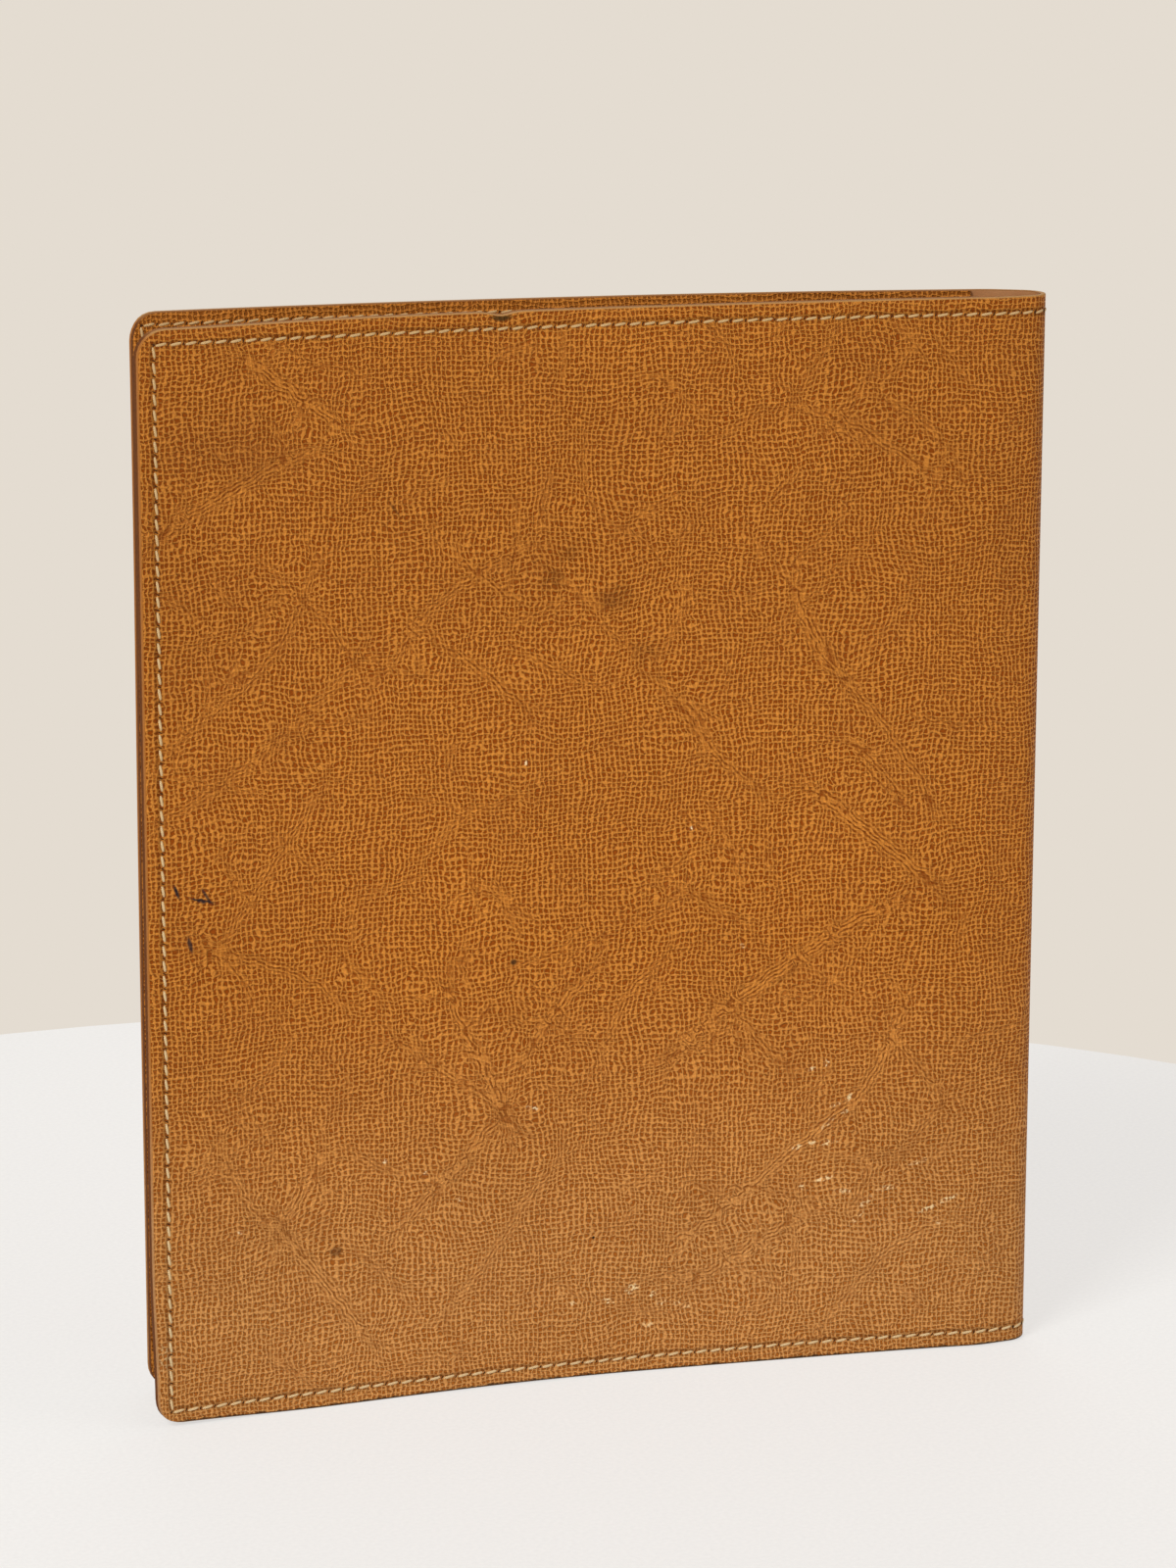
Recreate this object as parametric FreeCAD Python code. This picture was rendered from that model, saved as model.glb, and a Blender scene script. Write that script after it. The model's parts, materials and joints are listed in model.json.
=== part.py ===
import FreeCAD, Part
import math
import os

# A leather journal with a refillable notebook, standing on its lower edge and slightly open.
#
# One wrap of grained leather makes the back cover, the rounded spine and the front cover. A thin smooth
# lining backs it, and a grained pocket leaf is sewn to the inside of each cover along three edges. The
# notebook has a block of pages, a cloth tape round its back, and two card covers that slide into the
# pockets. The soft covers bow the same way, so the journal stands like a shallow letter C.
#
# Millimetres, +Z up along the spine, +X towards the spine, -Y towards the back cover. The pages' chord
# lies along X, and the origin is at the bottom centre of the journal's box. Depth is counted inwards
# from the leather's outer surface, and distance along a cover from its fold towards its fore-edge.

# Leather wrap
COVER_HEIGHT = 254.0
COVER_WIDTH = 203.0  # fold to fore-edge, along the cover
CORNER_RADIUS = 6.5
LEATHER = 1.2
LINING = 0.6
GLUE = 0.05
FOLD_GAP = 0.3  # between a cover's layers and the spine's, where the leather folds

# Spine: a round nose, and a flank on each side that widens towards the cover's fold
NOSE_RADIUS = 6.2
FLANK_WIDTH = 8.0
FLANK_FLARE_DEGREES = 17.5  # from the direction in which the spine points

# How the soft covers stand: the angle at which each leaves the spine, and the radius of its bow
BACK_SPLAY_DEGREES = 4.4
BACK_BOW_RADIUS = 825.0
FRONT_SPLAY_DEGREES = 0.3
FRONT_BOW_RADIUS = 700.0

# Pocket leaves
POCKET_LEAF = 0.9
POCKET_START = 4.5  # free edge of the leaf, from the fold
SEWN_BORDER = 5.3  # flat border that is sewn down
POCKET_DEPTH = 0.7  # how far the leaf stands off the lining to hold a card
FIELD_CORNER_RADIUS = 3.0  # inside the pocket, and of the card in it

# Notebook
CARD = 0.5
CARD_START = 1.0  # from the fold
CARD_PLAY = 0.3  # round the card's three edges in its pocket
CARD_LIFT = 0.08  # between the card and the lining
PAGES_THICKNESS = 8.0
PAGES_WIDTH = 200.0
PAGES_INSET = 7.0  # of the pages' head and tail from the leather's edges
PAGES_CORNER_RADIUS = 4.0
PAGES_BOW_RADIUS = 795.0
TAPE = 0.3
TAPE_LEG = 9.0
TAPE_PLAY = 0.25  # between the taped back and the spine's lining

# Lock-stitched seam in waxed thread
SEAM_MARGIN = 3.8
STITCH_PITCH = 3.45
STITCH_LENGTH = 2.8
STITCH_WIDTH = 0.6
STITCH_HEIGHT = 0.3
STITCH_SLANT_DEGREES = 12.0  # in the plane of the leather
STITCH_TAPER = 0.22

LINING_START = LEATHER + GLUE
LINING_END = LINING_START + LINING
BORDER_START = LINING_END + GLUE
BORDER_END = BORDER_START + POCKET_LEAF
FIELD_START = BORDER_START + POCKET_DEPTH
FIELD_END = FIELD_START + POCKET_LEAF
UP = FreeCAD.Vector(0, 0, 1)


def inset(border):
    """Heights that stay this far inside the leather's lower and upper edges."""
    return (border, COVER_HEIGHT - border)


def extruded(edges, heights):
    """The solid over a closed loop of edges that lies at the first height."""
    face = Part.Face(Part.Wire(edges))
    return face.extrude(UP * (heights[1] - heights[0]))


class Spine:
    """The spine in plan, with its nose centred on X = 0, Y = 0 before the journal is placed.

    Distance along it is counted from the back cover's fold, round the nose, to the front cover's.
    """

    def __init__(self):
        self.flare = math.radians(FLANK_FLARE_DEGREES)
        self.half_turn = math.pi / 2 - self.flare
        self.half_nose = NOSE_RADIUS * self.half_turn
        self.length = 2 * (FLANK_WIDTH + self.half_nose)

    def point(self, along, deep, height):
        from_tip = along - self.length / 2
        side = math.copysign(1, from_tip)
        past_nose = max(0.0, abs(from_tip) - self.half_nose)
        angle = side * min(abs(from_tip) / NOSE_RADIUS, self.half_turn)
        reach = NOSE_RADIUS - deep
        x = reach * math.cos(angle) - past_nose * math.cos(self.flare)
        y = reach * math.sin(angle) + past_nose * side * math.sin(self.flare)
        return FreeCAD.Vector(x, y, height)

    def fold(self, side):
        """Where a cover folds: on the leather's outer surface, on the back (-1) or the front (+1)."""
        return self.point(self.length / 2 * (1 + side), 0.0, 0.0)

    def line_at(self, deep, height, back_mitre, front_mitre):
        """The spine's line at one depth: a flank, the nose and the other flank."""
        start = FOLD_GAP / 2 + deep * math.tan(back_mitre)
        end = self.length - FOLD_GAP / 2 - deep * math.tan(front_mitre)
        nose = (FLANK_WIDTH, self.length / 2, self.length - FLANK_WIDTH)
        first, last = (self.point(s, deep, height) for s in (start, end))
        round_nose = [self.point(s, deep, height) for s in nose]
        edges = [
            Part.LineSegment(first, round_nose[0]),
            Part.Arc(*round_nose),
            Part.LineSegment(round_nose[2], last),
        ]
        return [edge.toShape() for edge in edges]

    def layer(self, deep, heights):
        """A layer of the spine, between two depths."""
        mitres = [(self.flare - cover.splay) / 2 for cover in (BACK, FRONT)]
        outer = self.line_at(deep[0], heights[0], *mitres)
        inner = self.line_at(deep[1], heights[0], *mitres)
        front_end = Part.LineSegment(outer[2].lastVertex().Point, inner[2].lastVertex().Point).toShape()
        back_end = Part.LineSegment(inner[0].firstVertex().Point, outer[0].firstVertex().Point).toShape()
        return extruded(outer + [front_end] + inner[::-1] + [back_end], heights)

    def reach_inside(self, half_width, clearance):
        """How far out along X a flat back of this half width goes, at this clearance from the lining."""
        free = NOSE_RADIUS - LINING_END - clearance
        if half_width <= free * math.cos(self.flare):
            return math.sqrt(free**2 - half_width**2)
        beyond = half_width - free * math.cos(self.flare)
        return free * math.sin(self.flare) - beyond / math.tan(self.flare)


class Bow:
    """A sheet that stands upright and follows one arc in plan, from its start to its fore-edge.

    leave is the angle towards the back at which it starts, and side is -1 for the back cover, whose
    depth grows towards the front, and +1 for the front cover.
    """

    def __init__(self, start, leave_degrees, radius, side):
        self.leave = math.radians(leave_degrees)
        self.splay = -side * self.leave
        self.radius = radius
        self.side = side
        self.centre = start - self.outwards(0.0) * radius

    def outwards(self, along):
        """Direction from the bow's centre to the sheet."""
        angle = self.leave + along / self.radius
        return FreeCAD.Vector(-math.sin(angle), math.cos(angle), 0)

    def point(self, along, deep, height):
        return self.centre + self.outwards(along) * (self.radius - self.side * deep) + UP * height

    def layer(self, along, deep, heights, corner=0.0, mitre=0.0):
        """A layer between two distances, depths and heights, its fore-edge corners rounded.

        mitre is the angle at which its end at the fold leans away from the spine.
        """
        (start, end), (shallow, deeper), low = along, deep, heights[0]
        middle = (start + end) / 2
        lean = math.tan(mitre)
        outer = [self.point(s, shallow, low) for s in (start + shallow * lean, middle, end)]
        inner = [self.point(s, deeper, low) for s in (end, middle, start + deeper * lean)]
        edges = [
            Part.Arc(*outer),
            Part.LineSegment(outer[2], inner[0]),
            Part.Arc(*inner),
            Part.LineSegment(inner[2], outer[0]),
        ]
        solid = extruded([edge.toShape() for edge in edges], heights)
        if corner > 0:
            ends = [self.point(end, (shallow + deeper) / 2, z) for z in heights]
            rounded = [e for e in solid.Edges if any(e.CenterOfMass.isEqual(p, 1e-4) for p in ends)]
            solid = solid.makeFillet(corner, rounded)
        return solid


def pages_bow():
    """The middle of the page block, halfway between the covers, from where its taped back fits."""
    half_back = PAGES_THICKNESS / 2 + GLUE + TAPE
    back = SPINE.reach_inside(half_back, TAPE_PLAY)
    leave = (BACK_SPLAY_DEGREES - FRONT_SPLAY_DEGREES) / 2
    return Bow(FreeCAD.Vector(back - TAPE - GLUE, 0, 0), leave, PAGES_BOW_RADIUS, -1)


SPINE = Spine()
BACK = Bow(SPINE.fold(-1), BACK_SPLAY_DEGREES, BACK_BOW_RADIUS, -1)
FRONT = Bow(SPINE.fold(1), -FRONT_SPLAY_DEGREES, FRONT_BOW_RADIUS, 1)
PAGES = pages_bow()
FULL_HEIGHT = inset(0.0)


def cover_layer(cover, deep):
    """A layer of the wrap on one cover, up to its fold."""
    mitre = (SPINE.flare - cover.splay) / 2
    return cover.layer((FOLD_GAP / 2, COVER_WIDTH), deep, FULL_HEIGHT, CORNER_RADIUS, mitre)


def pocket_leaf(cover):
    """A leaf whose border lies flat on the lining and whose field stands off it, open at the spine."""
    border = cover.layer(
        (POCKET_START, COVER_WIDTH), (BORDER_START, BORDER_END), FULL_HEIGHT, CORNER_RADIUS
    )
    field = cover.layer(
        (POCKET_START, COVER_WIDTH - SEWN_BORDER),
        (BORDER_START, FIELD_END),
        inset(SEWN_BORDER),
        FIELD_CORNER_RADIUS + POCKET_LEAF,
    )
    hollow_border = SEWN_BORDER + POCKET_LEAF
    hollow = cover.layer(
        (0.0, COVER_WIDTH - hollow_border),
        (BORDER_START - GLUE, FIELD_START),
        inset(hollow_border),
        FIELD_CORNER_RADIUS,
    )
    return border.fuse(field).removeSplitter().cut(hollow)


def notebook_card(cover):
    """One card cover of the notebook, in its pocket."""
    border = SEWN_BORDER + POCKET_LEAF + CARD_PLAY
    deep = (LINING_END + CARD_LIFT, LINING_END + CARD_LIFT + CARD)
    return cover.layer((CARD_START, COVER_WIDTH - border), deep, inset(border), FIELD_CORNER_RADIUS)


def page_block():
    half = PAGES_THICKNESS / 2
    return PAGES.layer((0.0, PAGES_WIDTH), (-half, half), inset(PAGES_INSET), PAGES_CORNER_RADIUS)


def binding_tape():
    """Cloth tape glued round the back of the pages, in a U."""
    inner = PAGES_THICKNESS / 2 + GLUE
    outer = inner + TAPE
    around = PAGES.layer((-GLUE - TAPE, TAPE_LEG), (-outer, outer), inset(PAGES_INSET))
    kept = PAGES.layer((-GLUE, TAPE_LEG + TAPE), (-inner, inner), inset(PAGES_INSET))
    return around.cut(kept)


def stitch():
    """One stitch along X, ridged and with tapered ends, that stands up along Y from the plane Y = 0."""
    half, side = STITCH_LENGTH / 2, STITCH_WIDTH / 2
    ridge = half - STITCH_TAPER
    return Part.makeWedge(-half, 0, -side, 0, -ridge, half, STITCH_HEIGHT, side, 0, ridge)


def laid_stitch(sheet, along, deep, height, off_surface, upright=False):
    """A stitch on a sheet at this depth, slanted, on the side that off_surface (+1 or -1) points to."""
    here = sheet.point(along, deep, height)
    off = (here - sheet.point(along, deep + off_surface, height)).normalize()
    run = off.cross(UP)
    line, across = (UP, run) if upright else (run, UP)
    slant = math.radians(STITCH_SLANT_DEGREES)
    length = line * math.cos(slant) + across * math.sin(slant)
    turn = FreeCAD.Rotation(length, off, length.cross(off), "ZXY")
    return stitch().transformed(FreeCAD.Placement(here + off * GLUE, turn).toMatrix())


def spaced(start, end):
    """Stitch centres between two ends, as near to the pitch as whole stitches allow."""
    count = max(1, round((end - start) / STITCH_PITCH))
    return [start + (end - start) * (i + 0.5) / count for i in range(count)]


def cover_seam(cover):
    """The thread on both faces of a cover, along its head, fore-edge and tail."""
    last = COVER_WIDTH - SEAM_MARGIN
    stitches = []
    for height in inset(SEAM_MARGIN):
        for along in spaced(FOLD_GAP, last):
            stitches.append(laid_stitch(cover, along, 0.0, height, 1))
            past_leaf_edge = along - POCKET_START
            if abs(past_leaf_edge) > STITCH_LENGTH / 2:
                under = BORDER_END if past_leaf_edge > 0 else LINING_END
                stitches.append(laid_stitch(cover, along, under, height, -1))
    for height in spaced(*inset(SEAM_MARGIN)):
        stitches.append(laid_stitch(cover, last, 0.0, height, 1, upright=True))
        stitches.append(laid_stitch(cover, last, BORDER_END, height, -1, upright=True))
    return Part.makeCompound(stitches)


def spine_seam():
    """The same thread where it goes round the outside of the spine, at head and tail."""
    stations = spaced(FOLD_GAP, SPINE.length - FOLD_GAP)
    return Part.makeCompound(
        [laid_stitch(SPINE, along, 0.0, height, 1) for height in inset(SEAM_MARGIN) for along in stations]
    )


def journal():
    """Every piece by name."""
    pieces = {
        "spine_leather": SPINE.layer((0.0, LEATHER), FULL_HEIGHT),
        "spine_lining": SPINE.layer((LINING_START, LINING_END), FULL_HEIGHT),
        "spine_seam": spine_seam(),
        "page_block": page_block(),
        "binding_tape": binding_tape(),
    }
    for side, cover in (("back", BACK), ("front", FRONT)):
        pieces[f"{side}_cover_leather"] = cover_layer(cover, (0.0, LEATHER))
        pieces[f"{side}_cover_lining"] = cover_layer(cover, (LINING_START, LINING_END))
        pieces[f"{side}_pocket_leaf"] = pocket_leaf(cover)
        pieces[f"{side}_cover_seam"] = cover_seam(cover)
        pieces[f"notebook_{side}_card"] = notebook_card(cover)
    return pieces


def placement(pieces):
    """Turns the pages' chord onto X, and brings the bottom centre of the box to the origin."""
    chord = PAGES.point(0.0, 0.0, 0.0) - PAGES.point(PAGES_WIDTH, 0.0, 0.0)
    turn = FreeCAD.Placement(FreeCAD.Vector(), FreeCAD.Rotation(chord, FreeCAD.Vector(1, 0, 0)))
    turned = Part.makeCompound([piece.transformed(turn.toMatrix()) for piece in pieces])
    box = turned.optimalBoundingBox(False)
    centre = FreeCAD.Placement(FreeCAD.Vector(-box.Center.x, -box.Center.y, -box.ZMin), FreeCAD.Rotation())
    return centre * turn


os.makedirs("parts", exist_ok=True)
pieces = journal()
place = placement(pieces.values())
for name, piece in pieces.items():
    piece.transformed(place.toMatrix()).exportStep(f"parts/{name}.step")
for name, spot in (
    ("back cover's fold", SPINE.fold(-1)),
    ("front cover's fold", SPINE.fold(1)),
    ("foot of the back cover's leather", BACK.point(COVER_WIDTH / 2, LEATHER / 2, 0.0)),
):
    print(name, "at", [round(value, 4) for value in place.multVec(spot)])
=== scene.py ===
import json
import math

import bmesh
import bpy
import numpy as np
from mathutils import Matrix, Vector


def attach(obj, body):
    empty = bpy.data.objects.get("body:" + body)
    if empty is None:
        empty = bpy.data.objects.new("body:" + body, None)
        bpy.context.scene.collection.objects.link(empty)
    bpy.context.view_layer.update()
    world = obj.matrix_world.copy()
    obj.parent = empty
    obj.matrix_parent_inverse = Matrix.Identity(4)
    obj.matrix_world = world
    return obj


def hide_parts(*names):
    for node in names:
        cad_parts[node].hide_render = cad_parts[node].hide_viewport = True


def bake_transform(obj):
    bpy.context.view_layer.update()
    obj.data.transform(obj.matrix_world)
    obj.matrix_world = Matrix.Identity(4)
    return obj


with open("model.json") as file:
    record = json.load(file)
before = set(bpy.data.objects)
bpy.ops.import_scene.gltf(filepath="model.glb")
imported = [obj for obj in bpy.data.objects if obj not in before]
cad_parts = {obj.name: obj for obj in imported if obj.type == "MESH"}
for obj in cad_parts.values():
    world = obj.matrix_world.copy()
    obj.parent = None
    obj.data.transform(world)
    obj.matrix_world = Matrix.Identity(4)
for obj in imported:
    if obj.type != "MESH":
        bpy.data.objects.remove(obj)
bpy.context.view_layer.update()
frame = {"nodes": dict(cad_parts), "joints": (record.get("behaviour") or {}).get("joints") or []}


# Table and room. The journal stands on a small round table under a white cloth, in a cream room
# lit by a broad soft window high on the left.

# metres, as are the places of the lamps and the camera
TABLE_CENTRE = (-0.043, -0.042)
TABLE_RADIUS = 0.375
ROOM_RADIUS = 14.0
ROOM_DROP = 0.0008
LAMP_AIM = Vector((0.0, 0.0, 0.12))


def linear(code):
    """A hex sRGB colour as the linear values that the shaders take."""
    values = [int(code[i:i + 2], 16) / 255 for i in (1, 3, 5)]
    return tuple(v / 12.92 if v <= 0.04045 else ((v + 0.055) / 1.055) ** 2.4 for v in values) + (1.0,)


def add(tree, kind, inputs=None, out=0, **settings):
    """Adds a node with its settings, and values or links for its inputs. Gives one of its outputs."""
    made = tree.nodes.new(kind)
    for name, value in settings.items():
        setattr(made, name, value)
    for key, value in (inputs or {}).items():
        if isinstance(value, bpy.types.NodeSocket):
            tree.links.new(value, made.inputs[key])
        else:
            made.inputs[key].default_value = value
    return made.outputs[out] if len(made.outputs) else made


def blank_material(name):
    """An empty material and its node tree."""
    material = bpy.data.materials.new(name)
    material.use_nodes = True
    material.node_tree.nodes.clear()
    return material, material.node_tree


def disc(name, centre, radius, height, steps=96):
    """A flat round surface that faces up."""
    mesh = bpy.data.meshes.new(name)
    ring = [
        (centre[0] + radius * math.cos(t), centre[1] + radius * math.sin(t), height)
        for t in np.linspace(0, 2 * math.pi, steps, endpoint=False)
    ]
    mesh.from_pydata(ring, [], [tuple(range(steps))])
    made = bpy.data.objects.new(name, mesh)
    bpy.context.scene.collection.objects.link(made)
    return made


# Bleached cotton: matt and slightly uneven white, with slubs a millimetre long.
cotton, tree = blank_material("bleached_cotton_cloth")
where = add(tree, "ShaderNodeTexCoord", out="Object")
slub = add(tree, "ShaderNodeTexNoise", {"Vector": where, "Scale": 900.0, "Detail": 2.0})
slub = add(tree, "ShaderNodeMapRange", {"Value": slub, "From Min": 0.3, "From Max": 0.7})
tone = add(tree, "ShaderNodeMix", {0: slub, 6: linear("#E9EAEB"), 7: linear("#F9FAFA")}, 2, data_type="RGBA")
shader = add(tree, "ShaderNodeBsdfPrincipled", {"Base Color": tone, "Roughness": 0.95})
shader.node.inputs["Specular IOR Level"].default_value = 0.1
shown = add(tree, "ShaderNodeEmission", {"Color": linear("#F4F1EE"), "Strength": 1.0})
rays = add(tree, "ShaderNodeLightPath").node
share = add(tree, "ShaderNodeMath", {0: rays.outputs["Is Camera Ray"], 1: 0.72}, operation="MULTIPLY")
mixed = add(tree, "ShaderNodeMixShader", {0: share, 1: shader, 2: shown})
add(tree, "ShaderNodeOutputMaterial", {"Surface": mixed})

# Cream wall paint: matt and even, shown at its own colour.
paint, tree = blank_material("cream_wall_paint")
matt = add(tree, "ShaderNodeBsdfDiffuse", {"Color": linear("#E4DCD1")})
shown = add(tree, "ShaderNodeEmission", {"Color": linear("#E4DCD1"), "Strength": 1.0})
rays = add(tree, "ShaderNodeLightPath").node
seen = add(tree, "ShaderNodeMath", {0: rays.outputs["Is Camera Ray"], 1: rays.outputs["Is Glossy Ray"]},
           operation="MAXIMUM")
seen = add(tree, "ShaderNodeMath", {0: seen, 1: rays.outputs["Is Transmission Ray"]}, operation="MAXIMUM")
mixed = add(tree, "ShaderNodeMixShader", {0: seen, 1: matt, 2: shown})
add(tree, "ShaderNodeOutputMaterial", {"Surface": mixed})

table = disc("table_cloth", TABLE_CENTRE, TABLE_RADIUS, 0.0)
table.data.materials.append(cotton)
room = disc("cream_room", (0.0, 0.0), ROOM_RADIUS, -ROOM_DROP)
room.data.materials.append(paint)

world = bpy.data.worlds.new("cream_daylight")
bpy.context.scene.world = world
world.use_nodes = True
tree = world.node_tree
tree.nodes.clear()
sky = add(tree, "ShaderNodeBackground", {"Color": linear("#F6F3EE"), "Strength": 0.44})
backdrop = add(tree, "ShaderNodeBackground", {"Color": linear("#E4DCD1"), "Strength": 1.0})
rays = add(tree, "ShaderNodeLightPath").node
mixed = add(tree, "ShaderNodeMixShader", {0: rays.outputs["Is Camera Ray"], 1: sky, 2: backdrop})
add(tree, "ShaderNodeOutputWorld", {"Surface": mixed})

for name, place, size, watts, colour in (
    ("window", (-1.3, -1.25, 1.55), 0.8, 34.0, "#FFFDF8"),
    ("room_fill", (1.7, -1.0, 0.9), 1.2, 9.0, "#FFF6EA"),
    ("back_fill", (0.4, 1.9, 1.3), 1.2, 9.0, "#FFFDF8"),
):
    lamp = bpy.data.lights.new(name, "AREA")
    lamp.size = size
    lamp.energy = watts
    lamp.color = linear(colour)[:3]
    lit = bpy.data.objects.new(name, lamp)
    aim = LAMP_AIM - Vector(place)
    lit.matrix_world = Matrix.Translation(place) @ aim.to_track_quat("-Z", "Y").to_matrix().to_4x4()
    bpy.context.scene.collection.objects.link(lit)

bpy.context.scene.view_settings.view_transform = "Standard"


# Camera: a long lens, a little above the journal's top edge and to the left of the back cover.

CAMERA_PLACE = (-0.28568, -1.07289, 0.3906)
CAMERA_TURN = math.radians(-14.857)
CAMERA_DIP = math.radians(12.601)
CAMERA_ROLL = math.radians(0.103)
CAMERA_LENS = 112.5

right = Vector((math.cos(CAMERA_TURN), math.sin(CAMERA_TURN), 0.0))
ahead = Vector((-math.sin(CAMERA_TURN), math.cos(CAMERA_TURN), 0.0))
look = ahead * math.cos(CAMERA_DIP) - Vector((0, 0, 1)) * math.sin(CAMERA_DIP)
down = right.cross(look) * -1
level = right * math.cos(CAMERA_ROLL) - down * math.sin(CAMERA_ROLL)
upward = -(right * math.sin(CAMERA_ROLL) + down * math.cos(CAMERA_ROLL))
camera = bpy.data.objects.new("camera", bpy.data.cameras.new("camera"))
camera.data.lens = CAMERA_LENS
camera.data.sensor_width = 36.0
camera.data.clip_end = 60.0
camera.matrix_world = Matrix.Translation(CAMERA_PLACE) @ Matrix((level, upward, -look)).transposed().to_4x4()
bpy.context.scene.collection.objects.link(camera)
bpy.context.scene.camera = camera


# Leather wrap: one piece of pebbled cowhide, cut once and folded round the spine, that makes both
# covers. It is made here as two halves that meet along the tip of the nose. Each half bends at its
# own fold, and the cut edges are slightly rounded by handling.

COVER_HEIGHT = 254.0
COVER_WIDTH = 203.0
CORNER_RADIUS = 6.5
LEATHER_DEEP = (0.0, 1.2)  # depths are counted inwards from the wrap's outer surface
LEATHER_ARRIS = 0.26  # radius of its rounded cut edges
NOSE_RADIUS = 6.2
FLANK_WIDTH = 8.0
FLARE = math.radians(17.5)
NOSE_ARC = NOSE_RADIUS * (math.pi / 2 - FLARE)
FOLD = NOSE_ARC + FLANK_WIDTH  # distances are counted from the tip of the nose
FOLD_SOFTNESS = 3.5
# the angle at which each cover leaves the spine, and the radius of its bow
BOWS = {"back": (math.radians(4.4), 825.0), "front": (math.radians(-0.3), 700.0)}
SIDES = {"back": -1, "front": 1}

hinges = {joint["name"].split("_")[0]: np.array(joint["pos_m"][:2]) * 1000 for joint in frame["joints"]}
across = hinges["front"] - hinges["back"]
SPINE_TURN = math.atan2(across[1], across[0]) - math.pi / 2
out_of_spine = np.array((math.cos(SPINE_TURN), math.sin(SPINE_TURN)))
fold_back = FLANK_WIDTH * math.cos(FLARE) - NOSE_RADIUS * math.sin(FLARE)
NOSE_CENTRE = (hinges["front"] + hinges["back"]) / 2 + out_of_spine * fold_back


def smooth(values):
    """An even step from 0 to 1."""
    t = np.clip(values, 0.0, 1.0)
    return t * t * (3 - 2 * t)


def traced(start, heading, steps):
    """A line in plan from its heading at each distance: distances, points and headings."""
    pace = np.diff(steps)
    middle = (heading[1:] + heading[:-1]) / 2
    x = start[0] + np.concatenate(([0.0], np.cumsum(np.cos(middle) * pace)))
    y = start[1] + np.concatenate(([0.0], np.cumsum(np.sin(middle) * pace)))
    return {"along": steps, "x": x, "y": y, "heading": heading}


def wrap_line(cover):
    """The leather's outer surface in plan, from the tip of the nose to past the fore-edge."""
    side = SIDES[cover]
    leave, bow = BOWS[cover]
    steps = np.arange(0.0, FOLD + COVER_WIDTH + 2.0, 0.05)
    spine = side * (math.pi / 2 + np.minimum(steps, NOSE_ARC) / NOSE_RADIUS)
    board = side * math.pi + leave + (steps - FOLD) / bow
    share = smooth((steps - FOLD + FOLD_SOFTNESS) / (2 * FOLD_SOFTNESS))
    heading = spine + (board - spine) * share + SPINE_TURN
    line = traced(NOSE_CENTRE + NOSE_RADIUS * out_of_spine, heading, steps)
    line["side"] = side
    return line


def placed(line, along, deep, height):
    """Points at these distances, depths and heights, in metres."""
    heading = np.interp(along, line["along"], line["heading"])
    x = np.interp(along, line["along"], line["x"]) - line["side"] * deep * np.sin(heading)
    y = np.interp(along, line["along"], line["y"]) + line["side"] * deep * np.cos(heading)
    return np.stack([x, y, height], -1) * 0.001


LINES = {cover: wrap_line(cover) for cover in SIDES}


# waves of a soft cover: how far each stands off, how long it is both ways (over 2 pi), and its start
COVER_WAVES = ((0.16, 31, 58, 0.6), (0.09, 17, -37, 2.1))
FRONT_CORNER_CURL = 0.8  # of its upper corner, outwards


def relaxed(cover, along, height):
    """How far a soft cover stands off its even bow, inwards: handling has left it slightly wavy."""
    past = along - FOLD
    wave = sum(deep * np.sin(past / wide + height / tall + first) for deep, wide, tall, first in COVER_WAVES)
    inwards = smooth(past / 45) * wave
    if cover == "front":
        inwards -= FRONT_CORNER_CURL * smooth((past - 150) / 60) * smooth((height - 190) / 70)
    return inwards


EDGE_MARGIN = 3.8  # wear and cutting faults stay outside the seam
FOOT_WEAR = 0.17
NICK_PLACE = 118.0
NICK_WIDTH = 2.8
NICK_DEPTH = 0.75
HEAD_DROOP = 0.45
CORNER_BRUISE = 0.75
OUT_OF_SQUARE = {"back": 0.8, "front": 0.5}  # at the back cover's foot, and at the front cover's head


def settled(cover, along, height):
    """How far a cover's edges are from true, along and up: the foot is worn, the back cover has a nick
    and a droop in its head and a bruised lower corner, and both fore-edges are slightly out of square."""
    past = along - FOLD
    foot = smooth((4 - height) / 4)
    rim = smooth((past - COVER_WIDTH + EDGE_MARGIN) / EDGE_MARGIN)
    risen = foot * FOOT_WEAR * (1 + np.sin(along / 19 + 1.2))
    if cover == "front":
        return -OUT_OF_SQUARE[cover] * rim * smooth((height - 90) / 160), risen
    nick = np.exp(-((past - NICK_PLACE) / NICK_WIDTH) ** 2) * smooth((height - 247) / 7)
    droop = smooth((past - 150) / 45) * smooth((height - 240) / 14)
    bruise = foot * smooth((past - 160) / 40)
    risen += CORNER_BRUISE * bruise - NICK_DEPTH * nick - HEAD_DROOP * droop
    return -OUT_OF_SQUARE[cover] * rim * smooth((40 - height) / 36), risen


def edge_gap(along, height):
    """Distance to the nearest cut edge of a cover."""
    return np.minimum(np.minimum(height, COVER_HEIGHT - height), FOLD + COVER_WIDTH - along)


def ticks(*runs):
    """Stations from runs of (start, end, spacing), with the ends kept once."""
    found = [runs[0][0]]
    for start, end, spacing in runs:
        count = max(1, round((end - start) / spacing))
        found += list(np.linspace(start, end, count + 1)[1:])
    return np.array(found)


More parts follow.
